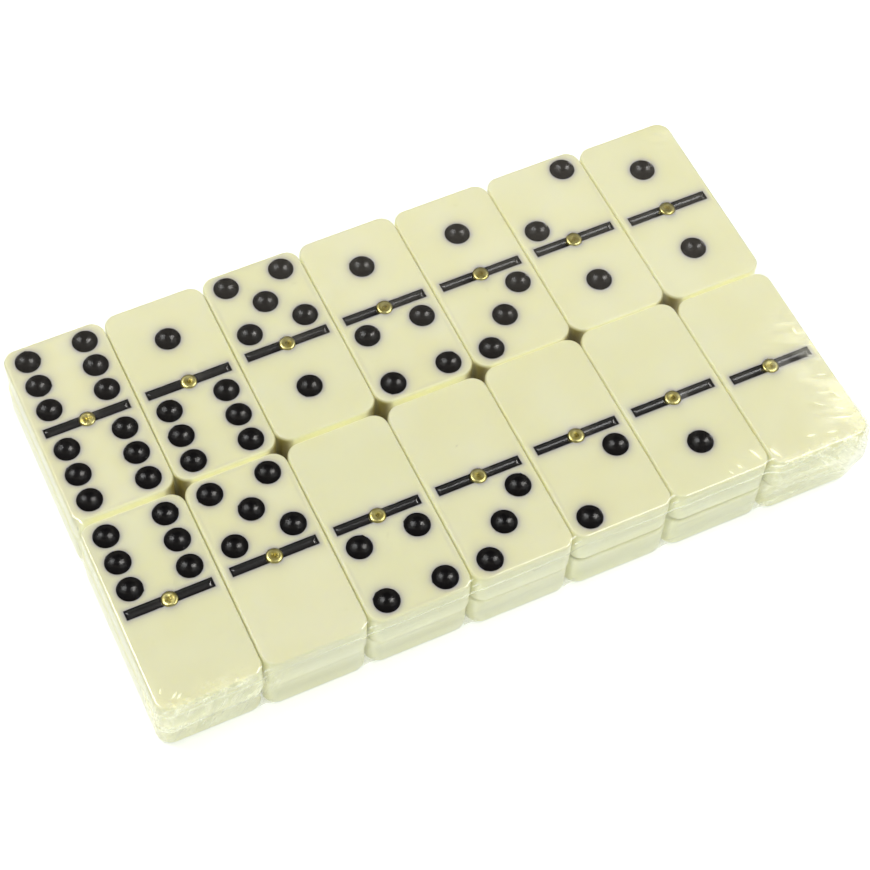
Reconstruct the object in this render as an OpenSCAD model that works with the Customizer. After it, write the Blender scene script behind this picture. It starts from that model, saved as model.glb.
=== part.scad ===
// A double-six set of dominoes sealed in clear shrink film.
// Two layers of fourteen tiles lie seven across and two deep. Each tile has round
// dished pips, a centre groove and a brass spinner pressed into its middle.
// +X runs along the rows of seven, +Y along the tiles, +Z up out of their faces.

/* [Tile] */
// Length of a tile
tile_l = 50; // [46:0.5:80]
// Width of a tile
tile_w = 25; // [22:0.5:40]
// Thickness of a tile
tile_t = 10; // [8:0.5:20]
// Radius of a tile's upright corners
corner_r = 3.5; // [2:0.1:6]
// Radius of the fillet round a tile's face and back
edge_r = 1.1; // [0.3:0.1:1.8]

/* [Pips] */
// Width of a pip at the face
pip_d = 6; // [3:0.1:7]
// Depth of a pip's dish
pip_depth = 1.1; // [0.4:0.1:1.4]
// Pip centres of the outer columns to the tile's side
pip_side = 5.4; // [4.2:0.1:7]
// Pip centres of the outer row to the tile's end
pip_end = 4.6; // [4.2:0.1:6]
// Pip centres of the inner row to the tile's middle
pip_mid = 5.8; // [5:0.1:7]

/* [Centre groove] */
// End of the groove to the tile's side
groove_end = 2.1; // [1.4:0.1:6]
// Width of the groove at the face
groove_w = 2.4; // [2:0.1:3.4]
// Depth of the groove
groove_depth = 0.8; // [0.4:0.1:1.4]
// How far each groove wall leans in from face to floor
groove_lean = 0.6; // [0:0.05:0.8]

/* [Spinner] */
// Diameter of the spinner's head
head_d = 4; // [3:0.1:5.6]
// Height of the head's crown above the tile's face
head_rise = 0.25; // [0.1:0.05:0.6]
// Height of the head's domed part
head_dome = 0.45; // [0.2:0.05:0.8]
// Depth of the head's seat below the face
head_seat = 1.1; // [0.9:0.1:2]
// Width of the dimple in the head
dimple_d = 0.8; // [0.4:0.1:1.2]
// Depth of the dimple
dimple_depth = 0.12; // [0.05:0.01:0.2]
// Diameter of the spinner's shank
shank_d = 2; // [1.4:0.1:2.8]
// Length of the shank below the head
shank_l = 5; // [2:0.5:6]

/* [Stack] */
// Gap between tiles side by side
side_gap = 0.2; // [0.1:0.05:1]
// Gap between the two rows, end to end
end_gap = 0.6; // [0.6:0.1:2]
// Offset of the lower layer towards -X
layer_shift = 0.3; // [0:0.1:3]

/* [Film] */
// Thickness of the shrink film
film_t = 0.2; // [0.1:0.05:0.6]
// Gap between the film and the sides of the tiles
film_gap = 0.3; // [0.2:0.05:1]
// Gap between the film and the crowns of the spinners
crown_gap = 0.1; // [0.05:0.05:0.5]

/* [Hidden] */
columns = 7;
rows = 2;
layers = 2;
fine = 96;
overlap = 1;
press_gap = 0.02;
shank_spare = 0.3;
stack_gap = 0.05;

// Pip counts of each tile as [far half, near half], by layer, row and column:
// the lower layer first, and in each layer the near row first.
SET = [
    [
        [[6, 2], [5, 2], [4, 2], [3, 2], [2, 2], [6, 3], [5, 3]],
        [[3, 3], [4, 3], [4, 4], [5, 4], [6, 4], [5, 5], [6, 5]],
    ],
    [
        [[6, 0], [5, 0], [0, 4], [0, 3], [0, 2], [0, 1], [0, 0]],
        [[6, 6], [1, 6], [5, 1], [1, 4], [1, 3], [2, 1], [1, 1]],
    ],
];

// How far each tile has crept along its length in the film, in the same order.
CREEP = [
    [
        [1, 0.5, 0.5, 0, 0, 0, -0.5],
        [0.5, 0.5, 0.5, 0, 0, 0, 0],
    ],
    [
        [-0.5, 0, 0, 0, 0.5, 0.5, -1],
        [0, 0, 0.5, 0.5, 0, 0, -1],
    ],
];

// Pip places in half a tile, as [column, row], each from -1 to 1.
PIPS = [
    [],
    [[0, 0]],
    [[1, 1], [-1, -1]],
    [[1, 1], [0, 0], [-1, -1]],
    [[1, 1], [-1, 1], [1, -1], [-1, -1]],
    [[1, 1], [-1, 1], [0, 0], [1, -1], [-1, -1]],
    [[1, 1], [-1, 1], [1, 0], [-1, 0], [1, -1], [-1, -1]],
];

PLACES = [for (l = [0 : layers - 1]) for (r = [0 : rows - 1]) for (c = [0 : columns - 1]) [l, r, c]];

function faces(p) = SET[p[0]][p[1]][p[2]];
function creep(p) = CREEP[p[0]][p[1]][p[2]];
function label(p) = str(max(faces(p)), "_", min(faces(p)));
function tile_name(p) = str("tile_", label(p));
function spinner_name(p) = str("spinner_", label(p));

// A layer's size, and the middle of the whole pack
tile_pitch = tile_w + side_gap;
row_pitch = tile_l + end_gap;
layer_pitch = tile_t + head_rise + stack_gap;
layer_w = columns * tile_w + (columns - 1) * side_gap;
function shift(l) = l == 0 ? -layer_shift : 0;
function near_y(l) = -tile_l - end_gap / 2 + min(CREEP[l][0]);
function far_y(l) = tile_l + end_gap / 2 + max(CREEP[l][1]);
pack_mid = [-layer_shift / 2, (min(near_y(0), near_y(1)) + max(far_y(0), far_y(1))) / 2];

// Heights of the layers, of the seam between the two films, and of the top film
function base_z(l) = film_t + l * layer_pitch;
seam_z = base_z(1) - (head_rise + stack_gap) / 2;
roof_z = base_z(1) + tile_t + head_rise + crown_gap;

function origin(p) = [
    (p[2] - (columns - 1) / 2) * tile_pitch + shift(p[0]) - pack_mid[0],
    (p[1] - (rows - 1) / 2) * row_pitch + creep(p) - pack_mid[1],
    base_z(p[0])
];

// Columns and rows of pips in a half, and the sphere that cuts a dish of a given size
pip_x = tile_w / 2 - pip_side;
pip_y = (tile_l / 2 - pip_end + pip_mid) / 2;
pip_step = (tile_l / 2 - pip_end - pip_mid) / 2;
function dish_r(d, depth) = (d * d / 4 + depth * depth) / (2 * depth);

// A rectangle with round corners, centred
module round_rect(w, l, r) {
    square([w - 2 * r, l], center = true);
    square([w, l - 2 * r], center = true);
    for (x = [-1, 1]) {
        for (y = [-1, 1]) {
            translate([x * (w / 2 - r), y * (l / 2 - r)]) circle(r, $fn = fine);
        }
    }
}

// A block with upright corners of radius r and a fillet of radius f above and below
module round_block(w, l, h, r, f) {
    translate([0, (l - 2 * r) / 2, h / 2]) rotate([90, 0, 0]) linear_extrude(l - 2 * r) round_rect(w, h, f);
    translate([-(w - 2 * r) / 2, 0, h / 2]) rotate([90, 0, 90]) linear_extrude(w - 2 * r) round_rect(l, h, f);
    for (x = [-1, 1]) {
        for (y = [-1, 1]) {
            translate([x * (w / 2 - r), y * (l / 2 - r), 0]) round_post(h, r, f);
        }
    }
}

// A cylinder with a fillet round its top and bottom rims
module round_post(h, r, f) {
    rotate_extrude($fn = fine) {
        square([r - f, h]);
        translate([0, f]) square([r, h - 2 * f]);
        for (z = [f, h - f]) translate([r - f, z]) circle(f, $fn = fine);
    }
}

// The dishes of one half's pips, cut from the face at z = 0
module pips(count) {
    r = dish_r(pip_d, pip_depth);
    for (q = PIPS[count]) {
        translate([q[0] * pip_x, q[1] * pip_step, r - pip_depth]) sphere(r, $fn = fine);
    }
}

// A straight-sided channel with leaning walls and mitred ends
module groove() {
    l = tile_w - 2 * groove_end;
    intersection() {
        rotate([90, 0, 90]) linear_extrude(l, center = true) channel(groove_w);
        rotate([90, 0, 0]) linear_extrude(groove_w, center = true) channel(l);
    }
}

module channel(w) {
    rise = overlap / groove_depth * groove_lean;
    polygon([
        [-w / 2 + groove_lean, -groove_depth],
        [w / 2 - groove_lean, -groove_depth],
        [w / 2 + rise, overlap],
        [-w / 2 - rise, overlap]
    ]);
}

// The stepped hole that the spinner is pressed into
module spinner_hole() {
    translate([0, 0, -head_seat]) cylinder(head_seat + overlap, d = head_d + 2 * press_gap, $fn = fine);
    translate([0, 0, -head_seat - shank_l - shank_spare])
        cylinder(shank_l + shank_spare + overlap, d = shank_d + 2 * press_gap, $fn = fine);
}

module tile(p) {
    color("ivory") translate(origin(p)) difference() {
        round_block(tile_w, tile_l, tile_t, corner_r, edge_r);
        translate([0, pip_y, tile_t]) pips(faces(p)[0]);
        translate([0, -pip_y, tile_t]) pips(faces(p)[1]);
        translate([0, 0, tile_t]) groove();
        translate([0, 0, tile_t]) spinner_hole();
    }
}

module spinner(p) {
    crown_r = dish_r(head_d, head_dome);
    mark_r = dish_r(dimple_d, dimple_depth);
    color("gold") translate(origin(p)) translate([0, 0, tile_t]) difference() {
        union() {
            intersection() {
                translate([0, 0, -head_seat]) cylinder(head_seat + head_rise, d = head_d, $fn = fine);
                translate([0, 0, head_rise - crown_r]) sphere(crown_r, $fn = fine);
            }
            translate([0, 0, -head_seat - shank_l]) cylinder(shank_l + head_seat / 2, d = shank_d, $fn = fine);
        }
        translate([0, 0, head_rise + mark_r - dimple_depth]) sphere(mark_r, $fn = fine);
    }
}

// The outline that the film takes round one layer, grown by g from the tiles
module layer_outline(l, g) {
    w = layer_w + 2 * g;
    d = far_y(l) - near_y(l) + 2 * g;
    mid = [shift(l), (near_y(l) + far_y(l)) / 2];
    translate(mid - pack_mid) round_rect(w, d, corner_r + g);
}

// Film that bridges the step between the layers at the seam
module seam_ledge(l) {
    linear_extrude(film_t) difference() {
        union() {
            layer_outline(0, film_gap + film_t);
            layer_outline(1, film_gap + film_t);
        }
        layer_outline(l, film_gap);
    }
}

// The lower film: a floor under the tiles, walls up to the seam, and its ledge
module wrap_lower() {
    color([0.85, 0.9, 0.95, 0.3]) {
        difference() {
            linear_extrude(seam_z) layer_outline(0, film_gap + film_t);
            translate([0, 0, film_t]) linear_extrude(seam_z) layer_outline(0, film_gap);
        }
        translate([0, 0, seam_z - film_t]) seam_ledge(0);
    }
}

// The upper film: a roof over the spinners, walls down to the seam, and its ledge
module wrap_upper() {
    color([0.85, 0.9, 0.95, 0.3]) {
        difference() {
            translate([0, 0, seam_z]) linear_extrude(roof_z + film_t - seam_z) layer_outline(1, film_gap + film_t);
            translate([0, 0, seam_z - overlap]) linear_extrude(roof_z - seam_z + overlap) layer_outline(1, film_gap);
        }
        translate([0, 0, seam_z]) seam_ledge(1);
    }
}

for (p = PLACES) {
    tile(p);
    spinner(p);
}
wrap_lower();
wrap_upper();
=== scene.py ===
"""A double-six domino set in shrink film: ivory tiles with black pips and brass spinners, in two layers."""
import math
import random

import bpy
import numpy as np
from mathutils import Matrix, Vector, noise
from mathutils.geometry import delaunay_2d_cdt


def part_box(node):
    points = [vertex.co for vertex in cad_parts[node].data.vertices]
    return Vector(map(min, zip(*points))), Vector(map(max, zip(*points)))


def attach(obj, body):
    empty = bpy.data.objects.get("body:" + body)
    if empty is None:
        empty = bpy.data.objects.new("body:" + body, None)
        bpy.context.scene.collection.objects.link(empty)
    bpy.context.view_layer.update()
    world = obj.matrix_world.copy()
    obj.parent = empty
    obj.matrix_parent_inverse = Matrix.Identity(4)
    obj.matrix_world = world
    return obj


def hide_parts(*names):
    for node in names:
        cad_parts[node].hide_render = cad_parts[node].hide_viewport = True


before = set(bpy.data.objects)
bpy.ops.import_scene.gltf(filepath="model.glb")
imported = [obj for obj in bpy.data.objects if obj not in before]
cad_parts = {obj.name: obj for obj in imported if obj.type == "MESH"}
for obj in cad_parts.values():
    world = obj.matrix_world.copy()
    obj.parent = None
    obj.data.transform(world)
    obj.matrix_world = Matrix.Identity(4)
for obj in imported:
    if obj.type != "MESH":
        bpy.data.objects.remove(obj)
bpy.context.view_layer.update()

# Sizes in millimetres. Meshes are worked out in millimetres and scaled once, as each is made.
MM = 0.001
WIDTH, LENGTH, THICK = 25.0, 50.0, 10.0
SIZE = (WIDTH, LENGTH)
# The corner's radius in plan, and the fillet round the face: how far down and in it goes. The back's is round.
CORNER, FILLET, EDGE, BACK_FILLET = 3.5, 0.8, 0.55, 0.4
# A pip's radius and depth, how far its rows lie from the tile's two middle lines, and the step between rows
PIP, DISH = 3.0, 1.1
PIP_X, PIP_Y, PIP_STEP = 7.1, 13.1, 7.3
# Half the groove's length and half its width, and its depth
GROOVE = (10.4, 1.2)
GROOVE_DEEP = 0.8
# Radius and depth of the spinner's seat and bore
SEAT, SEAT_DEEP = 2.02, 1.1
BORE, BORE_DEEP = 1.02, 6.4
# The enamel: how far it spills past its rims, how thick it is, and how far it stands off the resin
SPILL, ENAMEL, ENAMEL_OFF = 0.07, 0.03, 0.004
# How many points go round a pip, a seat or a spinner
ROUND = 48

# The tiles of each layer: near row, then far row, each tile as (far half, near half)
LAYERS = [
    [[(6, 2), (5, 2), (4, 2), (3, 2), (2, 2), (6, 3), (5, 3)],
     [(3, 3), (4, 3), (4, 4), (5, 4), (6, 4), (5, 5), (6, 5)]],
    [[(6, 0), (5, 0), (0, 4), (0, 3), (0, 2), (0, 1), (0, 0)],
     [(6, 6), (1, 6), (5, 1), (1, 4), (1, 3), (2, 1), (1, 1)]],
]
# Where the pips of each number lie in its half, in columns and rows
CORNERS = [(1, 1), (-1, 1), (1, -1), (-1, -1)]
SPOTS = {
    0: [],
    1: [(0, 0)],
    2: [(1, 1), (-1, -1)],
    3: [(1, 1), (0, 0), (-1, -1)],
    4: CORNERS,
    5: CORNERS + [(0, 0)],
    6: CORNERS + [(1, 0), (-1, 0)],
}


def pair(tile):
    """A tile's own name: its higher number, then its lower."""
    return "%d_%d" % (max(tile), min(tile))


def box(node):
    """A node's lowest and highest corners in millimetres."""
    return [np.array(corner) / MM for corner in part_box(node)]


# ---------------------------------------------------------------- shader maths

class Wire:
    """The output of a node, which ordinary arithmetic works on."""

    def __init__(self, finish, socket):
        self.finish = finish
        self.socket = socket

    def maths(self, operation, a, b):
        return self.finish.node("ShaderNodeMath", {"operation": operation}, {0: a, 1: b})

    def __add__(self, other): return self.maths("ADD", self, other)
    def __radd__(self, other): return self.maths("ADD", other, self)
    def __sub__(self, other): return self.maths("SUBTRACT", self, other)
    def __rsub__(self, other): return self.maths("SUBTRACT", other, self)
    def __mul__(self, other): return self.maths("MULTIPLY", self, other)
    def __rmul__(self, other): return self.maths("MULTIPLY", other, self)
    def __pow__(self, other): return self.maths("POWER", self, other)
    def __rpow__(self, other): return self.maths("POWER", other, self)

    def clamped(self):
        return self.maths("MAXIMUM", self.maths("MINIMUM", self, 1.0), 0.0)

    def ramp(self, low, high):
        """0 at low, 1 at high, smooth between."""
        return self.finish.node("ShaderNodeMapRange", {"interpolation_type": "SMOOTHSTEP"},
                                {"Value": self, "From Min": low, "From Max": high})


class Finish:
    """The nodes of a new material, or of a node tree that is given."""

    def __init__(self, name, nodes=None):
        if nodes is None:
            self.material = bpy.data.materials.new(name)
            self.material.use_nodes = True
            nodes = self.material.node_tree
        self.tree = nodes
        self.tree.nodes.clear()

    def node(self, kind, settings=None, sockets=None, out=0):
        """Adds a node: its settings first, then what goes into its sockets. Gives one of its outputs."""
        n = self.tree.nodes.new(kind)
        for key, value in (settings or {}).items():
            setattr(n, key, value)
        for key, value in (sockets or {}).items():
            if isinstance(value, Wire):
                self.tree.links.new(value.socket, n.inputs[key])
            else:
                n.inputs[key].default_value = value
        return Wire(self, n.outputs[out]) if len(n.outputs) else None

    def colour_mix(self, a, b, factor):
        return self.node("ShaderNodeMix", {"data_type": "RGBA"}, {0: factor, 6: a, 7: b}, out=2)

    def grain(self, size, detail=2.0, rough=0.5, stretch=(1, 1, 1), turn=(0, 0, 0)):
        """Noise from 0 to 1 with features about size millimetres across, drawn out along its turned axes."""
        place = self.node("ShaderNodeTexCoord", out=3)
        place = self.node("ShaderNodeMapping", {"vector_type": "TEXTURE"}, {
            "Vector": place, "Rotation": [math.radians(t) for t in turn], "Scale": stretch})
        return self.node("ShaderNodeTexNoise", {}, {
            "Vector": place, "Scale": 1 / (size * MM), "Detail": detail, "Roughness": rough})

    def reading(self, name):
        """A number stored on the mesh's own points."""
        return self.node("ShaderNodeAttribute", {"attribute_name": name}, out=2)

    def bump(self, height, distance, strength):
        return self.node("ShaderNodeBump", {}, {"Height": height, "Distance": distance, "Strength": strength})

    def principled(self, **sockets):
        names = {key.replace("_", " "): value for key, value in sockets.items()}
        return self.node("ShaderNodeBsdfPrincipled", {}, names)

    def show(self, shader):
        self.node("ShaderNodeOutputMaterial", {}, {"Surface": shader})
        return self.material


def rgb(r, g, b):
    """A colour as a socket takes it."""
    return (r, g, b, 1.0)


# How much of the painted shade round a pip or groove is left a millimetre further from its rim
ENAMEL_SHADE_FADE = 0.29


def ivory_resin():
    f = Finish("ivory_resin")
    tone = f.reading("tone")
    gap = f.reading("edge_mm")
    cloud = f.grain(14, 3, 0.55)
    fleck = f.grain(2.2, 2, 0.6)
    colour = f.colour_mix(rgb(0.868, 0.848, 0.552), rgb(0.892, 0.880, 0.634), cloud.ramp(0.3, 0.7))
    colour = f.colour_mix(colour, rgb(0.832, 0.842, 0.567), tone * 0.5)
    # Painted shade: the resin is greyed a little way out from each pip and groove, for the light that the black
    # enamel takes from the clear resin round it
    enamel_shade = ENAMEL_SHADE_FADE ** (gap + (fleck - 0.5) * 0.3)
    colour = f.colour_mix(colour, rgb(0.42, 0.40, 0.44), enamel_shade * 0.85)
    # Deep between four corners the resin gets hardly any light
    colour = f.colour_mix(colour, rgb(0.38, 0.31, 0.05), f.reading("buried"))
    # Faint scuffs lie in slanting patches
    scuff = f.grain(5.5, 4, 0.7, stretch=(2.8, 0.6, 1), turn=(0, 0, 28)).ramp(0.69, 0.76)
    colour = f.colour_mix(colour, rgb(0.50, 0.47, 0.34), scuff * f.grain(1.1).ramp(0.5, 0.62) * 0.5)
    rough = 0.30 + (f.grain(6, 3) - 0.5) * 0.12 + scuff * 0.2
    wave = f.grain(9, 1) + f.grain(0.9, 2) * 0.03
    # Painted light: the walls between tiles glow, for the light that the resin carries into them
    painted_wall_glow = f.colour_mix(rgb(0, 0, 0), rgb(0.80, 0.79, 0.59), f.reading("painted_wall_glow"))
    return f.show(f.principled(
        Base_Color=colour, Roughness=rough, Normal=f.bump(wave, 0.00006, 0.6),
        Emission_Color=painted_wall_glow, Emission_Strength=1.0, IOR=1.5,
        Subsurface_Weight=0.6, Subsurface_Radius=(0.9, 0.85, 0.5), Subsurface_Scale=0.0022))


def black_enamel():
    f = Finish("black_enamel")
    # Paler motes lie in the enamel. Only in the milled groove has it a dull coat.
    mote = f.grain(0.32, 2, 0.7).ramp(0.70, 0.76)
    dull = f.grain(2.4, 3)
    colour = f.colour_mix(rgb(0.0028, 0.0021, 0.0027), rgb(0.040, 0.036, 0.038), mote)
    wave = f.grain(2.6, 0)
    return f.show(f.principled(
        Base_Color=colour, Roughness=0.18 + dull * 0.08, Normal=f.bump(wave, 0.00003, 0.1), IOR=1.39,
        Coat_Weight=f.reading("milled"), Coat_Roughness=0.32, Coat_IOR=1.42))


def turned_brass():
    f = Finish("turned_brass")
    middle = f.reading("middle")
    # Tarnish lies in patches. The middle of the head is also painted darker, a painted reflection of the dark
    # room that its smoother middle mirrors.
    tarnish_and_shade = (f.grain(1.1, 2, 0.5).ramp(0.30, 0.72) * 0.6 + middle * 0.5).clamped()
    colour = f.colour_mix(rgb(0.636, 0.595, 0.266), rgb(0.360, 0.268, 0.004), tarnish_and_shade * 0.85)
    # The lathe's marks
    lathe = f.grain(0.5, 1)
    return f.show(f.principled(
        Base_Color=colour, Metallic=1.0, Roughness=0.32 - middle * 0.06, Normal=f.bump(lathe, 0.00001, 0.5)))


# ---------------------------------------------------------------- meshes

def piece(name, points, faces, material, body, sharp, readings, normals=None):
    """A new object from points in millimetres, riding on a body. Edges over sharp degrees, if given, stay sharp,
    and readings are numbers stored on the points."""
    mesh = bpy.data.meshes.new(name)
    mesh.from_pydata((np.asarray(points) * MM).tolist(), [], [list(map(int, f)) for f in faces])
    mesh.validate()
    mesh.shade_smooth()
    if sharp is not None:
        mesh.set_sharp_from_angle(angle=math.radians(sharp))
    for key, values in readings.items():
        mesh.attributes.new(key, "FLOAT", "POINT").data.foreach_set("value", np.asarray(values, np.float32))
    if normals is not None:
        mesh.normals_split_custom_set_from_vertices(normals.tolist())
    mesh.materials.append(material)
    thing = bpy.data.objects.new(name, mesh)
    bpy.context.scene.collection.objects.link(thing)
    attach(thing, body)
    return thing


def circle(radius, count, centre=(0.0, 0.0)):
    """Points round a circle, anticlockwise from its right side."""
    a = np.arange(count) * 2 * math.pi / count
    return np.stack([centre[0] + radius * np.cos(a), centre[1] + radius * np.sin(a)], 1)


def round_rect(width, length, radius, steps=10):
    """Points round a rectangle with round corners, anticlockwise from its right side."""
    points = []
    for k, (sx, sy) in enumerate([(1, 1), (-1, 1), (-1, -1), (1, -1)]):
        for j in range(steps + 1):
            a = math.pi / 2 * (k + j / steps)
            points.append((sx * (width / 2 - radius) + radius * math.cos(a),
                           sy * (length / 2 - radius) + radius * math.sin(a)))
    return np.array(points)


def spots(tile):
    """Pip centres of a tile, in its own millimetres."""
    found = []
    for count, side in zip(tile, (1, -1)):
        found += [(u * PIP_X, side * PIP_Y + v * PIP_STEP) for u, v in SPOTS[count]]
    return np.array(found).reshape(-1, 2)


def groove_inset(p):
    """How far inside the groove's rim each point lies."""
    return np.minimum(GROOVE[0] - abs(p[:, 0]), GROOVE[1] - abs(p[:, 1]))


def rim_distance(p, pips):
    """Distance in millimetres from each point to the nearest pip, groove or spinner seat, negative inside one."""
    dx, dy = abs(p[:, 0]) - GROOVE[0], abs(p[:, 1]) - GROOVE[1]
    near = np.hypot(np.maximum(dx, 0), np.maximum(dy, 0)) + np.minimum(np.maximum(dx, dy), 0)
    near = np.minimum(near, np.hypot(p[:, 0], p[:, 1]) - SEAT)
    for c in pips:
        near = np.minimum(near, np.hypot(*(p - c).T) - PIP)
    return near


def face_height(p, pips):
    """Height of the tile's face over its plane: the dishes, and the groove's steep walls and round bottom."""
    ball = (PIP * PIP + DISH * DISH) / (2 * DISH)
    up_wall = 1 - np.clip(groove_inset(p) / GROOVE[1], 0, 1)
    z = -GROOVE_DEEP * np.sqrt(1 - up_wall ** 2)
    for c in pips:
        r = np.minimum(np.hypot(*(p - c).T), PIP)
        z = np.minimum(z, ball - DISH - np.sqrt(ball * ball - r * r))
    return z


def face_normals(p, pips, step=0.02):
    """Directions square to the face's shape, so that its shine doesn't show the triangles."""
    slopes = [(face_height(p + d, pips) - face_height(p - d, pips)) / (2 * step)
              for d in ((step, 0), (0, step))]
    out = np.column_stack([-slopes[0], -slopes[1], np.ones(len(p))])
    return out / np.linalg.norm(out, axis=1)[:, None]


# How brightly the resin's painted glow shows between two tiles' sides, and how much more between their ends. That
# glow starts
# GLOW_FLOOR over the tile's back and is full GLOW_RISE further up.
SIDE_GLOW, END_GLOW = 0.04, 0.20
GLOW_FLOOR, GLOW_RISE = 2, 3
# How brightly an open wall's painted glow shows at the joint between the layers, and how far from it the glow
# reaches
JOINT_GLOW, JOINT_REACH = 0.20, 0.7
# How dark the resin is where four corners meet
BURIED = 0.95


def wall_light(p, level, open_sides):
    """How brightly the resin glows in each point of a tile's walls, and how far each point is shut in where four
    corners meet. The tile's open sides, on the outside of the pack, are given as (axis, sign)."""
    wall = np.sqrt(np.clip((THICK - p[:, 2]) / FILLET, 0, 1))
    across, along = (np.clip((abs(p[:, k]) - SIZE[k] / 2 + CORNER) / CORNER, 0, 1) for k in (0, 1))
    opened, corner = np.zeros(len(p)), np.clip(2 * across * along, 0, 1)
    for axis, sign in open_sides:
        corner = corner * (sign * p[:, axis] < 0)
        opened = np.maximum(opened, np.clip((sign * p[:, axis] - SIZE[axis] / 2 + 1.5) / 1.3, 0, 1))
    joint = p[:, 2] if level else np.minimum(p[:, 2], THICK - p[:, 2])
    joint = np.exp(-(joint / JOINT_REACH) ** 2)
    shut = (SIDE_GLOW + END_GLOW * (along > 0.6)) * (1 - 0.9 * corner)
    shut = shut * np.clip((p[:, 2] - GLOW_FLOOR) / GLOW_RISE, 0, 1)
    return wall * (shut * (1 - opened) + JOINT_GLOW * joint * opened), BURIED * wall * corner


# Where points stand along the groove, the same for all its rings, and the first and last of its long sides
STATIONS = np.linspace(-8.8, 8.8, 23)
STATION_END = 9.2
# Rings of points in plan: radius and count inside a dish, radii round a pip, and distances inside the groove's
# rim and outside it
DISH_RINGS = ((0.01, 1), (0.4, 12), (0.8, 24), (1.2, 24),
              (1.6, ROUND), (2.0, ROUND), (2.35, ROUND), (2.7, ROUND))
PIP_RINGS = (3.22, 3.5, 3.9, 4.5)
GROOVE_INSETS = (-SPILL, 0.0, 0.02, 0.07, 0.16, 0.30, 0.48, 0.70, 0.95)
GROOVE_RINGS = (0.30, 0.6, 1.0, 1.5)
# How clear a loose point keeps of a rim, outside and inside it, and of the face's outline
CLEAR, CLEAR_INSIDE, CLEAR_EDGE = 0.24, 0.25, 0.35


def groove_ring(inset, burrs=None):
    """Points round the groove at a distance inside its rim, anticlockwise, and where its four corners are. The
    dice burrs, if given, push a few points outwards."""
    x, y = GROOVE[0] - inset, GROOVE[1] - inset
    run = np.concatenate([[-x, -STATION_END], STATIONS, [STATION_END]])
    rise = np.array([-y, -y / 2, y / 2]) if y > 0.3 else np.array([-y])
    near = np.column_stack([run, np.full(len(run), -y)])
    right = np.column_stack([np.full(len(rise), x), rise])
    ring = np.concatenate([near, right, -near, -right])
    if burrs is not None:
        for _ in range(burrs.choice((1, 2, 3))):
            at = burrs.choice((0, len(run) + len(rise))) + burrs.randrange(3, len(run) - 3)
            ring[at, 1] *= 1 + burrs.uniform(0.05, 0.14)
    return ring, [0, len(run), len(run) + len(rise), 2 * len(run) + len(rise)]


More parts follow.
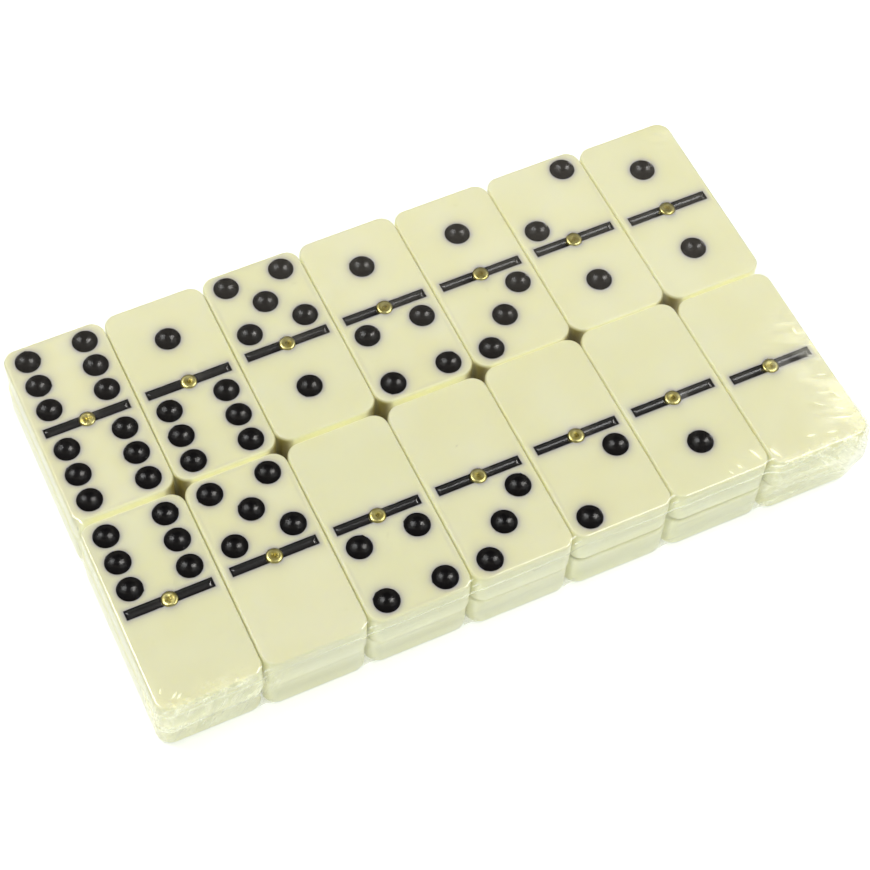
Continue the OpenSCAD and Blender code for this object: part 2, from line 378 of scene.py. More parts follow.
def plan(tile, seed):
    """The tile's face as triangles in plan, cut along every rim. Returns points, triangles, the outline's own
    points in order, which triangles carry enamel, and the pips' centres."""
    dice = random.Random(seed)
    pips = spots(tile)
    loops = [round_rect(WIDTH - 2 * EDGE, LENGTH - 2 * EDGE, CORNER - EDGE)]
    extra, edges_of = [], []
    for c in pips:
        loops.append(circle(PIP, ROUND, c))
        # The enamel's own edge wavers, and runs out at a point or two
        edge = np.array([PIP + SPILL + 0.03 * noise.noise(Vector((k * 0.7, seed, c[1]))) for k in range(ROUND)])
        for _ in range(dice.choice((0, 1, 1, 2))):
            edge[dice.randrange(ROUND)] += dice.uniform(0.06, 0.2)
        edges_of.append(edge)
        a = np.arange(ROUND) * 2 * math.pi / ROUND
        loops.append(np.stack([c[0] + edge * np.cos(a), c[1] + edge * np.sin(a)], 1))
        extra += [circle(r, n, c) for r, n in DISH_RINGS]
        extra += [circle(r, ROUND, c) for r in PIP_RINGS]
    # The groove's rings, joined at their four corners down to a spine in its bottom
    mitres = []
    for inset in GROOVE_INSETS:
        ring, corners = groove_ring(inset, dice if inset < 0 else None)
        mitres.append([sum(map(len, loops)) + c for c in corners])
        loops.append(ring)
    spine = np.array([(x, 0) for x in [GROOVE[1] - GROOVE[0], *STATIONS, GROOVE[0] - GROOVE[1]]])
    loops.append(circle(SEAT, ROUND))
    for out in GROOVE_RINGS:
        x, y = GROOVE[0] + out, GROOVE[1] + out
        rows = np.linspace(-x, x, 44)
        extra.append(np.array([(u, s * y) for u in rows for s in (1, -1)]))
        extra.append(np.array([(s * x, u) for u in np.linspace(-y, y, 7)[1:-1] for s in (1, -1)]))
    # A coarse grid over the bare resin
    grid = np.stack(np.meshgrid(np.arange(-10.2, 10.3, 1.7), np.arange(-22.5, 22.6, 1.8)), -1).reshape(-1, 2)
    extra.append(grid[rim_distance(grid, pips) > 1.6])

    fixed = np.concatenate(loops + [spine])
    border = []
    start = 0
    for loop in loops:
        n = len(loop)
        border += [(start + k, start + (k + 1) % n) for k in range(n)]
        start += n
    left, right = start, start + len(spine) - 1
    border += [(k, k + 1) for k in range(left, right)]
    for outer, inner in zip(mitres[1:], mitres[2:] + [[left, right, right, left]]):
        border += list(zip(outer, inner))

    loose = np.concatenate(extra)
    # A loose point keeps clear of every rim, so that no sliver forms there, and the groove has rings of its own
    own = rim_distance(loose, pips)
    half = np.array(SIZE) / 2
    inside = (abs(loose) < half - EDGE - CLEAR_EDGE).all(1)
    inside &= np.hypot(*np.maximum(abs(loose) - (half - CORNER), 0).T) < CORNER - EDGE - 0.3
    keep = inside & ((own > CLEAR) | (own < -CLEAR_INSIDE)) & (groove_inset(loose) < 0)
    points = np.concatenate([fixed, loose[keep]])
    verts, _, faces, origin, _, _ = delaunay_2d_cdt([Vector(p) for p in points], border, [], 0, 1e-5)
    out = np.array([v[:] for v in verts])
    where = {}
    for k, sources in enumerate(origin):
        for s in sources:
            where[s] = k
    rim = [where[k] for k in range(len(loops[0]))]
    tri = np.array(faces)
    mid = out[tri].mean(1)
    seat = np.hypot(mid[:, 0], mid[:, 1]) < SEAT - 0.005
    tri, mid = tri[~seat], mid[~seat]
    coat = groove_inset(mid) > 0.002 - SPILL
    for c, edge in zip(pips, edges_of):
        d = mid - c
        a = (np.arctan2(d[:, 1], d[:, 0]) / (2 * math.pi) % 1) * ROUND
        low = a.astype(int) % ROUND
        reach = edge[low] * (1 - a % 1) + edge[(low + 1) % ROUND] * (a % 1)
        coat |= np.hypot(d[:, 0], d[:, 1]) < reach - 0.004
    return out, tri, rim, coat, pips


def borders(tri):
    """The directed edges that only one triangle has."""
    edges = dict.fromkeys((t[k], t[(k + 1) % 3]) for t in tri for k in range(3))
    return [e for e in edges if (e[1], e[0]) not in edges]


# What edge_mm reads where no rim is near
FAR_OFF = 6.0


def tile_piece(tile, name, seed, level, open_sides, ivory):
    """Makes a tile's resin, and returns what its enamel is made from: points, faces, readings and normals."""
    lo, hi = box("tile_" + name)
    middle = np.array([(lo[0] + hi[0]) / 2, (lo[1] + hi[1]) / 2, lo[2]])
    flat, tri, rim, coat, pips = plan(tile, seed)
    z = face_height(flat, pips)
    near = rim_distance(flat, pips)
    points = [np.column_stack([flat, THICK + z])]
    reading = [near]
    faces = [tuple(t) for t in tri]
    count = len(flat)

    def add(rows, gap=FAR_OFF):
        nonlocal count
        points.append(rows)
        reading.append(np.full(len(rows), gap))
        count += len(rows)
        return list(range(count - len(rows), count))

    def join(upper, lower):
        n = len(upper)
        for k in range(n):
            faces.append((upper[k], lower[k], lower[(k + 1) % n], upper[(k + 1) % n]))

    # The fillet, side and lower fillet, ring by ring from the face down
    above = rim
    turns = [math.pi / 2 * k / 8 for k in range(1, 9)]
    rings = [(EDGE * (1 - math.sin(t)), THICK - FILLET * (1 - math.cos(t))) for t in turns]
    rings += [(0, THICK / 2)]
    rings += [(BACK_FILLET * (1 - math.sin(t)), BACK_FILLET * (1 - math.cos(t))) for t in reversed(turns)]
    rings += [(BACK_FILLET, 0)]
    for inset, height in rings:
        loop = round_rect(WIDTH - 2 * inset, LENGTH - 2 * inset, CORNER - inset)
        below = add(np.column_stack([loop, np.full(len(loop), height)]))
        join(above, below)
        above = below
    faces.append(tuple(reversed(above)))

    # The spinner's seat and bore, hung from the rim that the seat cuts in the face
    outer = set(rim)
    cut = [e for e in borders(tri) if not (e[0] in outer and e[1] in outer)]
    follow = dict(cut)
    loop = [cut[0][0]]
    while follow[loop[-1]] != loop[0]:
        loop.append(follow[loop[-1]])
    at = flat[loop]
    above = loop
    for radius, depth in ((SEAT, SEAT_DEEP), (BORE, SEAT_DEEP), (BORE, BORE_DEEP)):
        scale = radius / np.hypot(at[:, 0], at[:, 1])
        below = add(np.column_stack([at * scale[:, None], np.full(len(loop), THICK - depth)]), 0.0)
        join(above, below)
        above = below
    faces.append(tuple(reversed(above)))

    whole = np.concatenate(points)
    gaps = np.concatenate(reading)
    glow, buried = wall_light(whole, level, open_sides)
    # The bore takes no part in the glow, and on the face it is none in any case
    on_wall = gaps >= FAR_OFF
    # The walls' glow, stored on the points, is painted light, and buried is the painted shade deep between four
    # corners
    thing = piece("ivory_" + name, whole + middle, faces, ivory, "domino_" + name, 28,
                  {"edge_mm": gaps, "tone": np.full(len(whole), random.Random(seed * 7).random()),
                   "painted_wall_glow": glow * on_wall, "buried": buried * on_wall})
    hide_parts("tile_" + name)

    # Enamel over the dishes and the groove, a closed skin that stands just clear of the resin
    skin = tri[coat]
    used = np.unique(skin)
    local = {v: k for k, v in enumerate(used)}
    under = np.column_stack([flat[used], THICK + z[used] + ENAMEL_OFF])
    over = under + (0, 0, ENAMEL)
    n = len(used)
    top = [(local[a], local[b], local[c]) for a, b, c in skin]
    faces = top + [(a + n, c + n, b + n) for a, b, c in top]
    faces += [(local[a], local[a] + n, local[b] + n, local[b]) for a, b in borders(skin)]
    up = face_normals(flat[used], pips)
    # The groove is milled, and the pips are moulded
    milled = np.tile(np.clip(groove_inset(flat[used]) / 0.1 + 1, 0, 1), 2)
    return np.concatenate([over, under]) + middle, faces, {"milled": milled}, np.concatenate([up, -up])


# How deep the metal of some spinners has crumpled round the punch, and that of the rest
CRUMPLED = {"6_6": 0.16, "6_0": 0.07, "5_0": 0.09, "6_5": 0.08, "3_2": 0.10}
SMOOTH = 0.015
# How far the top of a spinner's own box is above its tile's face
HEAD = 0.25
# A spinner's outline from the shank's end to the middle of its head, as radius and height over the tile's face
SPINNER = [
    (1.0, -6.1), (1.0, -1.1), (2.0, -1.1), (2.0, -0.32), (1.988, -0.22), (1.95, -0.13), (1.89, -0.05),
    (1.80, 0.02), (1.69, 0.075), (1.56, 0.118), (1.42, 0.147), (1.27, 0.162), (1.10, 0.164), (0.92, 0.152),
    (0.72, 0.132), (0.5, 0.114), (0.28, 0.104), (0.05, 0.10),
]


def spinner_piece(name, seed, brass):
    """A turned brass spinner: rolled rim, low dome, and on some a crumple round the middle."""
    lo, hi = box("spinner_" + name)
    middle = np.array([(lo[0] + hi[0]) / 2, (lo[1] + hi[1]) / 2, hi[2] - HEAD])
    dice = random.Random(seed)
    crumple = CRUMPLED.get(name, SMOOTH)
    lean = (dice.uniform(-0.04, 0.04), dice.uniform(-0.04, 0.04))
    points, faces = [], []
    for r, h in SPINNER:
        for k in range(ROUND):
            a = 2 * math.pi * k / ROUND
            x, y = r * math.cos(a), r * math.sin(a)
            dent = (crumple * noise.noise(Vector((x * 1.6, y * 1.6, seed))) * math.exp(-(r / 1.1) ** 2)
                    if h > 0 else 0)
            points.append((x, y, h - dent + (lean[0] * x + lean[1] * y if h > -1 else 0)))
    for j in range(len(SPINNER) - 1):
        for k in range(ROUND):
            n = (k + 1) % ROUND
            faces.append((j * ROUND + k, j * ROUND + n, (j + 1) * ROUND + n, (j + 1) * ROUND + k))
    faces.append(tuple(reversed(range(ROUND))))
    last = (len(SPINNER) - 1) * ROUND
    faces.append(tuple(range(last, last + ROUND)))
    # How near the middle of the head a point lies: there the brass is smoother, and painted darker as a painted
    # reflection
    head_middle = np.clip(1.25 - np.hypot(*np.array(points)[:, :2].T), 0, 1)
    thing = piece("brass_spinner_" + name, np.array(points) + middle, faces, brass,
                  "domino_" + name, 50, {"middle": head_middle})
    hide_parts("spinner_" + name)


# ---------------------------------------------------------------- the tiles

ivory, enamel, brass = ivory_resin(), black_enamel(), turned_brass()
seed = 0
for level, layer in enumerate(LAYERS):
    for row, side in zip(layer, (-1, 1)):
        for column, tile in enumerate(row):
            seed += 1
            name = pair(tile)
            # On the outside are the end away from the other row, and a side of the first and last tile
            open_sides = [(1, side)] + [(0, -1)] * (column == 0) + [(0, 1)] * (column == len(row) - 1)
            skin, faces, readings, normals = tile_piece(tile, name, seed, level, open_sides, ivory)
            piece("enamel_" + name, skin, faces, enamel, "domino_" + name, None, readings, normals)
            spinner_piece(name, seed, brass)

# ---------------------------------------------------------------- film

# How far the film stands off the tiles, and how thick it is
GAP, SKIN = 0.10, 0.04
# How deep it is drawn in between two tiles, how far to each side of the joint, and how long a step between two
# tiles takes
PULL, REACH, STEP = 0.25, 2.6, 4.4
# How far under the top sheet these lie, and how wide each is: the painted highlight line along the near side,
# which wanders, the painted highlight line over a joint, where the film webs across, and the hem, where crinkles
# may show
FOLD, FOLD_WIDE, FOLD_WANDER = 3.3, 0.16, 0.4
WEB, WEB_WIDE = 1.0, 0.13
HEM, HEM_WIDE = 0.8, 0.9
SEAM = box("wrap_upper")[0][2]

# Where the film is creased, as (x, y, z, reach, strength): slanting on the near left corner, falling and
# level on the near right one, fanned over the right edge, and crinkled along the near edge and low on the
# near left corner
SLANTING = [(-85, -51, 13, 11, 1.0), (-73, -51, 12, 9, 0.9), (-65, -51, 14, 5, 0.6), (-88, 48, 16, 5, 0.3)]
FALLING = [(80, -50, 15, 8, 0.8), (88, -47, 14, 8, 0.7), (68, -51, 15, 6, 0.4), (-88, -46, 15, 5, 0.5)]
LEVEL = [(78, -50, 7, 10, 0.8), (66, -51, 5, 7, 0.7), (40, -50, 12, 14, 0.15), (-20, -50, 12, 25, 0.1)]
FANNED = [(87, -40, 20, 7, 0.9), (87, -30, 20, 7, 0.7), (87, -20, 20, 6, 0.5), (85, -47, 20, 5, 0.6),
          (57, -47, 20, 4, 0.3), (88, 46, 20, 5, 0.4)]
CRINKLED = [(65, -50, 19, 2.2, 0.7), (69, -50.5, 19, 2.5, 0.8), (74, -50.5, 19, 2.5, 0.9),
            (79, -50.5, 19, 3.0, 1.0), (84, -50.5, 19, 3.0, 1.0), (88, -47, 19, 3.0, 0.9),
            (88.5, -41, 19, 3, 0.4), (-85, -49.8, 19, 2.5, 0.8),
            (-80, -50.6, 19, 2.5, 0.8), (-75, -50.6, 19, 2.5, 0.8), (-69, -50.6, 19, 3.0, 0.7),
            (62.4, -49, 17, 1.2, 0.9), (37.3, -49, 18, 1.2, 0.4), (-62.6, -50, 18, 1.2, 0.4)]
CRUMPLED_LOW = [(-86, -50.5, 10.5, 2.6, 0.8), (-82, -51, 9.0, 2.0, 0.7), (-78, -51, 10.0, 2.0, 0.4)]
# Where slack film stands away from the tiles, as (x, y, z, reach, height)
SLACK = [(88, -46, 14, 9, 1.5), (88, -49, 8, 6, 0.9), (-88, -50, 11, 7, 0.5), (88, 49, 12, 6, 0.5)]
# Single creases in the top sheet: points along each one, its width and how white its painted highlight is
CREASES = [
    ([(80.5, -44.2), (83.5, -45.2), (86.6, -46.2)], 0.7, 0.9), ([(73.2, -46.4), (76, -46.9)], 0.7, 0.6),
    ([(78, -47.4), (81, -48.0)], 0.7, 0.6), ([(84.9, -37.4), (86.4, -41.0)], 0.6, 0.5),
    ([(79.2, -38.6), (82, -41.2)], 0.5, 0.35), ([(83, -41.8), (85.6, -43.6)], 0.6, 0.5),
    ([(85.8, -18.6), (85.9, -21.0)], 0.7, 0.7), ([(64.2, -45.4), (64.7, -47.2), (65.6, -48.8)], 0.9, 0.8),
    ([(59.6, -43.8), (60.6, -46.0), (60.9, -47.8)], 0.8, 0.7), ([(55.1, -46.3), (55.9, -48.0)], 0.6, 0.7),
    ([(52.6, -47.0), (53.4, -48.6)], 0.6, 0.35), ([(-84.2, -48.3), (-82.2, -46.9)], 0.6, 0.6),
    ([(-83.2, -48.8), (-81.4, -47.6)], 0.6, 0.6), ([(-86, -46.4), (-85.2, -44.6)], 0.5, 0.4),
    ([(84.6, -27.0), (86.6, -27.6)], 0.6, 0.4), ([(84.0, -32.6), (86.7, -33.6)], 0.6, 0.4),
]


def clear_film():
    f = Finish("clear_film")
    slant, fall, flat, fan, crinkle, painted_grey, fold_highlight = (
        f.reading(n) for n in ("slant", "fall", "flat", "fan", "crinkle", "painted_grey", "fold_highlight"))

    def streaks(turn, long=11, low=0.55):
        """Parallel wrinkles, fine ones among broad ones."""
        fine = f.grain(0.8, 1, 0.5, stretch=(long, 1, 1), turn=turn).ramp(low, low + 0.22)
        broad = f.grain(2.2, 1, 0.5, stretch=(3, 1, 1), turn=turn).ramp(0.42, 0.66)
        return fine * (0.08 + broad * 0.34) + broad * 0.18

    foil = f.grain(1.5, 2, 0.6, stretch=(2.6, 1, 1), turn=(0, -35, -12))
    # Flecks and glints are painted highlights, white where the lamps would glint on crinkles
    fleck = foil.ramp(0.42, 0.70)
    glint = f.grain(0.7, 1, 0.5, stretch=(3, 1, 1), turn=(0, -35, -40)).ramp(0.56, 0.66)
    # Clear skin mirrors a little, and more along a grazing look
    facing = f.node("ShaderNodeLayerWeight", {}, {"Blend": 0.5}, out=1)
    mirror = 0.036 + 0.17 * facing ** 5
    gloss = f.node("ShaderNodeBsdfGlossy", {}, {
        "Color": rgb(1, 1, 1), "Roughness": 0.11, "Normal": f.bump(crinkle * foil, 0.0002, 0.4)})
    clear = f.node("ShaderNodeBsdfTransparent", {}, {"Color": rgb(0.994, 0.996, 0.994)})
    skin = f.node("ShaderNodeMixShader", {}, {0: mirror, 1: clear, 2: gloss})
    # Where it is wrinkled or folded it turns white, partly from the film's own milkiness and partly as painted
    # highlights, for glints of the lamps on its creases and along its folded lines. Painted shade greys it where
    # it is drawn into a joint near the ground, and on slack film.
    milk_and_painted_light = (slant * streaks((0, -65, 0)) + fall * streaks((0, 52, 0)) + flat * streaks((0, -4, 0), 16)
            + fan * streaks((0, 0, -19), 12, 0.58) * 0.6 + crinkle * (fleck * 0.45 + glint * 0.6)
            + fold_highlight * 0.8 + painted_grey * 0.6).clamped()
    # Where the painted shade lies the veil turns grey
    colour = f.colour_mix(rgb(0.97, 0.97, 0.84), rgb(0.80, 0.80, 0.79), painted_grey)
    # The veil glows a little, as painted light, so that it stays lighter than the resin it covers
    veil = f.principled(
        Base_Color=colour, Roughness=0.5, Emission_Color=rgb(0.96, 0.97, 0.82), Emission_Strength=0.24)
    whole = f.node("ShaderNodeMixShader", {}, {0: milk_and_painted_light, 1: skin, 2: veil})
    # Film this thin throws no shadow
    from_lamp = f.node("ShaderNodeLightPath", out=1)
    return f.show(f.node("ShaderNodeMixShader", {}, {0: from_lamp, 1: whole, 2: clear}))


# How many points the film has along a long side, along a short side, and round a corner
ALONG, ACROSS, ROUND_CORNER = 330, 180, 11


def side_line(u, faces, joints, out):
    """Where the film lies along one side of a layer: it steps smoothly from tile to tile and is drawn a little
    way in between them. Returns that line and how deep in a gap each point is, from 0 to 1."""
    line = np.full(len(u), float(faces[0]))
    dip = np.zeros(len(u))
    for at, before, after in zip(joints, faces, faces[1:]):
        t = np.clip((u - at + STEP / 2) / STEP, 0, 1)
        line += (after - before) * t * t * (3 - 2 * t)
        dip = np.maximum(dip, np.cos(np.clip((u - at) / REACH, -1, 1) * math.pi / 2) ** 2)
    return line + out * (GAP - PULL * dip), dip


def film_outline(layer):
    """The film's way round a layer, anticlockwise from the near left corner, the direction out of the pack at
    each point, and its dips."""
    boxes = [[box("tile_" + pair(tile)) for tile in row] for row in layer]
    columns = [(a[1][0] + b[0][0]) / 2 for a, b in zip(boxes[0], boxes[0][1:])]
    left, right = boxes[0][0][0][0], boxes[0][-1][1][0]
    near = [b[0][1] for b in boxes[0]]
    far = [b[1][1] for b in boxes[1]]
    rows = {k: (boxes[0][k][1][1] + boxes[1][k][0][1]) / 2 for k in (0, -1)}
    along = np.linspace(left + CORNER, right - CORNER, ALONG)
    near_y, near_dip = side_line(along, near, columns, -1)
    far_y, far_dip = side_line(along, far, columns, 1)
    ends = []
    for k, x, out in ((-1, right, 1), (0, left, -1)):
        across = np.linspace(near[k] + CORNER, far[k] - CORNER, ACROSS)
        end_x, end_dip = side_line(across, [x, x], [rows[k]], out)
        ends.append((np.stack([end_x, across], 1), end_dip))

    def corner(cx, cy, start):
        a = np.radians(start + np.arange(1, ROUND_CORNER + 1) * 90 / (ROUND_CORNER + 1))
        r = CORNER + GAP
        return np.stack([cx + r * np.cos(a), cy + r * np.sin(a)], 1), np.zeros(ROUND_CORNER)

    parts = [
        (np.stack([along, near_y], 1), near_dip), corner(right - CORNER, near[-1] + CORNER, 270),
        ends[0], corner(right - CORNER, far[-1] - CORNER, 0),
        (np.stack([along, far_y], 1)[::-1], far_dip[::-1]), corner(left + CORNER, far[0] - CORNER, 90),
        (ends[1][0][::-1], ends[1][1][::-1]), corner(left + CORNER, near[0] + CORNER, 180),
    ]
    way = np.concatenate([p for p, _ in parts])
    dip = np.concatenate([d for _, d in parts])
    run = np.roll(way, -1, 0) - np.roll(way, 1, 0)
    run /= np.hypot(run[:, 0], run[:, 1])[:, None]
    return way, np.stack([run[:, 1], -run[:, 0]], 1), dip


def spread(points, places):
    """The sum of soft round patches at the listed places."""
    total = np.zeros(len(points))
    for x, y, z, reach, strength in places:
        total += strength * np.exp(-((points - (x, y, z)) ** 2).sum(1) / reach ** 2)
    return total


def crease(way, width):
    """A spindle round a line in plan: its spine, then its two sides without their ends."""
    way = np.array(way, float)
    along = np.concatenate([[0], np.cumsum(np.hypot(*np.diff(way, axis=0).T))])
    t = np.linspace(0, along[-1], 7)
    spine = np.stack([np.interp(t, along, way[:, 0]), np.interp(t, along, way[:, 1])], 1)
    run = np.gradient(spine, axis=0)
    run /= np.hypot(run[:, 0], run[:, 1])[:, None]
    out = np.stack([-run[:, 1], run[:, 0]], 1) * (width / 2 * np.sin(np.linspace(0, math.pi, 7)))[:, None]
    return spine, np.concatenate([(spine + out)[1:-1], (spine - out)[1:-1]])


# The radius of the film's bend over a tile's edge, and how much wider it is over a joint
BEND, BEND_WIDER = 0.7, 1.2
# The range of depths that has close rows of points, for the fold
CLOSE = (2.5, 4.4)
# How high the film is lifted over a spinner's head, and how far round it, and by a crease
TENT, TENT_REACH, RIDGE = 0.24, 4.2, 0.06
# Rings of points round a spinner's head: radius and count
TENT_RINGS = ((0.01, 1), (1, 10), (2, 16), (3, 20), (4, 24))


def film_piece(name, node, body, level, up, material):
    """Half of the film: a sheet over the tiles' faces (up = 1) or backs (up = -1), turned down or up their sides
    as far as the seam."""
    way, out, dip = film_outline(LAYERS[level])
    other, _, _ = film_outline(LAYERS[1 - level])
    n = len(way)
    bottom, top = box("tile_" + pair(LAYERS[level][0][0]))
    sheet = top[2] + GAP if up > 0 else bottom[2] - GAP
    deep = abs(sheet - SEAM)
    flare = np.maximum(((other - way) * out).sum(1), 0)
    bend = BEND + GAP + BEND_WIDER * dip
    wander = np.array([noise.noise(Vector((p[0] * 0.05, p[1] * 0.05, 3.0 + level))) for p in way])
    # Rows of points from the sheet's edge down to the seam: how far inside the outline, and how far down
    rows = [(bend + 0.15, 0 * bend)]
    for k in range(10):
        t = math.pi / 2 * k / 9
        rows.append((bend * (1 - math.sin(t)), bend * (1 - math.cos(t))))
    rows.append((0 * bend, (bend + CLOSE[0]) / 2))
    drops = [*np.arange(*CLOSE, 0.14), *np.arange(4.8, deep - 0.3, 0.5), deep - 0.05, deep]
    rows += [(0 * bend, np.full(n, d)) for d in drops]
    points, fold_highlights, veils, hems = [], [], [], []
    for inset, drop in rows:
        # Towards the seam the film spreads to the other half's outline
        near_seam = np.clip((drop - deep + 3) / 3, 0, 1)
        push = flare * near_seam * near_seam * (3 - 2 * near_seam)
        flat = way + out * (push - inset)[:, None]
        at = np.column_stack([flat, sheet - up * drop])
        loose = spread(at, SLACK) * np.clip(drop / 1.5, 0, 1)
        at[:, :2] += out * loose[:, None]
        points.append(at)
        # Painted highlights: a pale line along the near side, where the film is folded, and another over each
        # joint, where it webs across
        line = np.exp(-((drop - FOLD - FOLD_WANDER * wander) / FOLD_WIDE) ** 2) * np.clip(0.5 + wander, 0.15, 0.8)
        web = 0.4 * np.exp(-((drop - WEB) / WEB_WIDE) ** 2) * np.clip(dip * 2 - 1, 0, 1)
        fold_highlights.append((line + web) * (way[:, 1] < 0) * (up > 0))
        hems.append(np.full(n, math.exp(-((np.mean(drop) - HEM) / HEM_WIDE) ** 2)) * (up > 0))
        # Painted shade: film drawn into a joint near the ground is greyed, for the shadowed ground seen through
        # it, and slack film is greyed too
        low = 1 - at[:, 2] / 4
        veils.append(np.clip(dip * 1.3 - 0.35, 0, 1) * np.clip(low, 0, 1) + np.clip(loose * 0.35, 0, 0.6))
    faces = []
    for j in range(len(rows) - 1):
        for k in range(n):
            m = (k + 1) % n
            quad = (j * n + k, (j + 1) * n + k, (j + 1) * n + m, j * n + m)
            faces.append(quad if up > 0 else quad[::-1])

    # The sheet inside the bend, tented over the spinners
    inner = points[0][:, :2]
    lo, hi = inner.min(0), inner.max(0)
    grid = np.stack(np.meshgrid(
        np.arange(lo[0] + 1, hi[0] - 0.5, 2.5), np.arange(lo[1] + 1, hi[1] - 0.5, 2.5)), -1)
    grid = grid.reshape(-1, 2)
    heads = []
    for tile in sum(LAYERS[level], []) if up > 0 else []:
        low, high = box("spinner_" + pair(tile))
        heads.append((low[:2] + high[:2]) / 2)
    for h in heads:
        grid = grid[np.hypot(*(grid - h).T) > 4.6]
    loose = np.concatenate([grid] + [circle(r, count, h) for h in heads for r, count in TENT_RINGS])
    loose = loose[(loose > lo + 0.7).all(1) & (loose < hi - 0.7).all(1)]
    border = [(k, (k + 1) % n) for k in range(n)]
    # The creases are cut into the sheet, with a painted highlight that is whitest along their spines
    marks, white_of = np.zeros((0, 2)), []
    for way_points, width, white in CREASES if up > 0 else []:
        spine, rim = crease(way_points, width)
        loose = loose[np.hypot(*(loose[:, None] - spine[None]).transpose(2, 0, 1)).min(1) > 0.8]
        first = n + len(marks)
        marks = np.concatenate([marks, spine, rim])
        white_of += [*(white * np.sin(np.linspace(0, math.pi, len(spine)))), *[0.0] * len(rim)]
        last = first + len(spine) - 1
        border += [(k, k + 1) for k in range(first, last)]
        side = len(rim) // 2
        for start in (last + 1, last + 1 + side):
            edge = [first, *range(start, start + side), last]
            border += list(zip(edge, edge[1:]))
    flat = np.concatenate([inner, marks, loose])
    verts, _, tri, origin, _, _ = delaunay_2d_cdt([Vector(p) for p in flat], border, [], 1, 1e-5)
    where = {}
    count = n * len(rows)
    extra, shine = [], []
    for k, sources in enumerate(origin):
        rim = [q for q in sources if q < n]
        if rim:
            where[k] = rim[0]
        else:
            where[k] = count + len(extra)
            extra.append(verts[k][:])
            shine.append(max([white_of[q - n] for q in sources if q - n < len(white_of)], default=0.0))
    extra = np.array(extra)
    lift = np.zeros(len(extra))
    for h in heads:
        r = np.hypot(*(extra - h).T)
        lift = np.maximum(lift, TENT * np.clip(1 - (r / TENT_REACH) ** 2, 0, 1) ** 2)
    shine = np.array(shine)
    points.append(np.column_stack([extra, sheet + up * (lift + RIDGE * shine)]))
    fold_highlights.append(shine)
    veils.append(np.zeros(len(extra)))
    hems.append(np.exp(-(np.minimum(extra - lo, hi - extra).min(1) / 0.8) ** 2) * 0.5 * (up > 0))
    faces += [tuple(where[v] for v in (t if up > 0 else t[::-1])) for t in tri]

    whole = np.concatenate(points)
    if up < 0:
        whole[:, 2] = np.maximum(whole[:, 2], SKIN)
    side = np.clip((sheet * up - whole[:, 2] * up) / 1.2, 0, 1)
    hem = np.concatenate(hems)
    thing = piece(name, whole, faces, material, body, None, {
        "slant": np.clip(spread(whole, SLANTING), 0, 1) * side,
        "fall": np.clip(spread(whole, FALLING), 0, 1) * side,
        "flat": np.clip(spread(whole, LEVEL), 0, 1) * side,
        "fan": np.clip(spread(whole, FANNED), 0, 1) * (up > 0),
        "crinkle": np.clip(spread(whole, CRINKLED) * hem + spread(whole, CRUMPLED_LOW), 0, 1),
        "painted_grey": np.clip(np.concatenate(veils), 0, 1),
        "fold_highlight": np.clip(np.concatenate(fold_highlights), 0, 1)})
    thick = thing.modifiers.new("skin", "SOLIDIFY")
    thick.thickness = SKIN * MM
    thick.offset = -1
    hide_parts(node)


film = clear_film()
film_piece("film_lower", "wrap_lower", "tray", 0, -1, film)
film_piece("film_upper", "wrap_upper", "cover", 1, 1, film)

# ---------------------------------------------------------------- floor, light and camera

PALE = rgb(0.84, 0.865, 0.845)
# What is added to the floor where it is looked at, mirrored or seen through film, so that it comes out white
FLOOR_GLOW = 0.62


def floor_paper():
    f = Finish("floor_paper")
    seen = f.node("ShaderNodeLightPath", out=0)
    mirrored = f.node("ShaderNodeLightPath", out=3)
    through = f.node("ShaderNodeLightPath", out=6)
    shown = (seen + mirrored + through).clamped()
    paper = f.principled(Base_Color=PALE, Roughness=0.9)
    glow = f.node("ShaderNodeEmission", {}, {"Color": PALE, "Strength": shown * FLOOR_GLOW})
    return f.show(f.node("ShaderNodeAddShader", {}, {0: paper, 1: glow}))


bpy.ops.mesh.primitive_plane_add(size=12)
floor = bpy.context.object
floor.name = "floor"
floor.location.z = -0.4 * MM
floor.data.materials.append(floor_paper())

scene = bpy.context.scene
scene.world = bpy.data.worlds.new("studio")
scene.world.use_nodes = True
studio = Finish("studio", scene.world.node_tree)
sky = studio.node("ShaderNodeTexCoord", out=0)
up = studio.node("ShaderNodeSeparateXYZ", {}, {0: sky}, out=2)
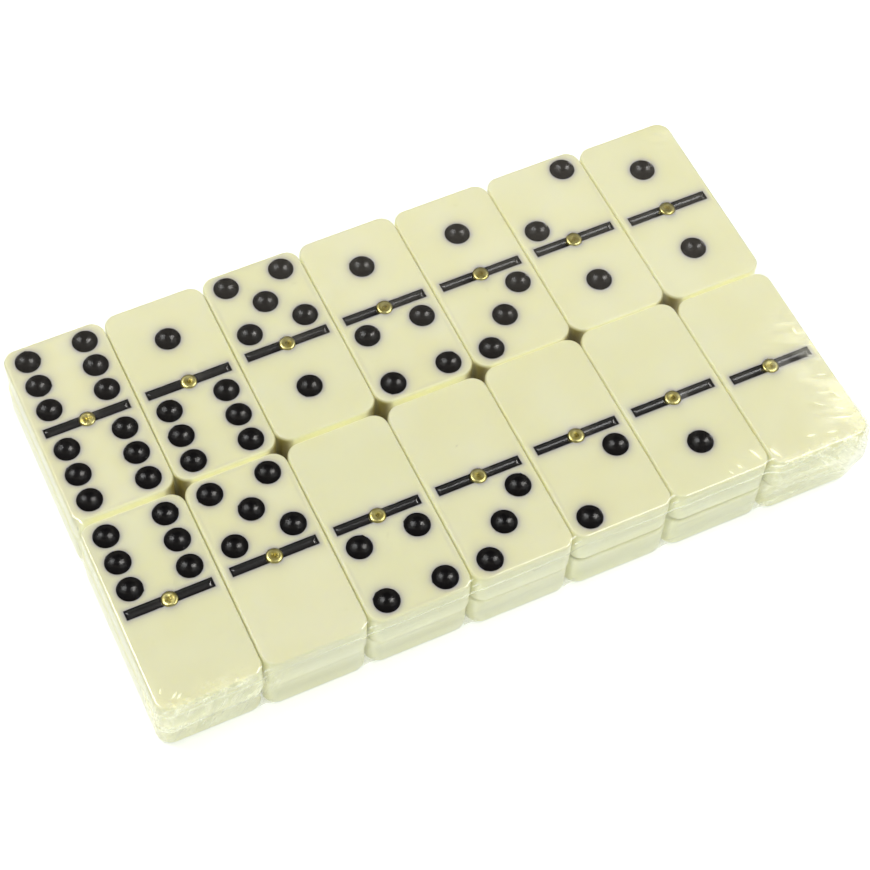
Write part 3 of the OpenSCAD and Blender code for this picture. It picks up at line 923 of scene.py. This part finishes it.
# The room is light on the near and left sides. On the far side it is dark high up and dim low down, with a warm
# band between. The vector points to the light side.
facing = studio.node("ShaderNodeVectorMath", {"operation": "DOT_PRODUCT"},
                     {0: sky, 1: (-0.38, -0.92, 0.0)}, out=1)
near = facing.ramp(-0.05, 0.65) * (1 - up.ramp(0.45, 0.78))
far = studio.colour_mix(rgb(0.68, 0.62, 0.51), rgb(0.012, 0.012, 0.012), up.ramp(0.785, 0.842))
far = studio.colour_mix(rgb(0.12, 0.115, 0.11), far, up.ramp(0.60, 0.83))
close = studio.colour_mix(rgb(0.60, 0.48, 0.40), rgb(0.87, 0.94, 0.90), facing.ramp(0.3, 0.7))
air = studio.colour_mix(far, close, near)
air = studio.node("ShaderNodeBackground", {}, {"Color": air, "Strength": 1.0})
studio.node("ShaderNodeOutputWorld", {}, {"Surface": air})


# How far the lamps stand from the set, in metres
LAMPS_AWAY = 1.6


def softbox(name, azimuth, elevation, width, power, colour=(1, 1, 1)):
    """A round softbox that faces the set. Azimuth is from +Y towards +X, angles are in degrees, width in metres
    and power in watts."""
    a, e = math.radians(azimuth), math.radians(elevation)
    towards = Vector((math.sin(a) * math.cos(e), math.cos(a) * math.cos(e), math.sin(e)))
    lamp = bpy.data.lights.new(name, "AREA")
    lamp.shape = "DISK"
    lamp.size = width
    lamp.energy = power
    lamp.color = colour
    thing = bpy.data.objects.new(name, lamp)
    thing.location = towards * LAMPS_AWAY
    thing.rotation_euler = towards.to_track_quat("Z", "Y").to_euler()
    scene.collection.objects.link(thing)


# Two lamps light the set, and two weak ones low on the far side catch the rims
softbox("lamp_right", 96, 64.5, 0.70, 8.1)
softbox("lamp_left", -43, 62.5, 0.58, 10.5, (1.0, 0.97, 0.94))
softbox("lamp_far_right", 73, 46, 0.90, 1.4)
softbox("lamp_far_left", -22, 41, 0.90, 1.4)

lens = bpy.data.cameras.new("camera")
lens.sensor_width = 36
lens.lens = 85.605
lens.shift_x = 0.0852
lens.shift_y = 0.1109
lens.clip_start = 0.01
camera = bpy.data.objects.new("camera", lens)
scene.collection.objects.link(camera)
scene.camera = camera
camera.location = (-0.12545, -0.23185, 0.42390)
azimuth, elevation, roll = (math.radians(v) for v in (24.97, 60.78, 0.70))
aim = Vector((math.sin(azimuth) * math.cos(elevation), math.cos(azimuth) * math.cos(elevation),
              -math.sin(elevation)))
camera.rotation_euler = (aim.to_track_quat("-Z", "Y").to_matrix() @ Matrix.Rotation(roll, 3, "Z")).to_euler()

scene.view_settings.view_transform = "Standard"
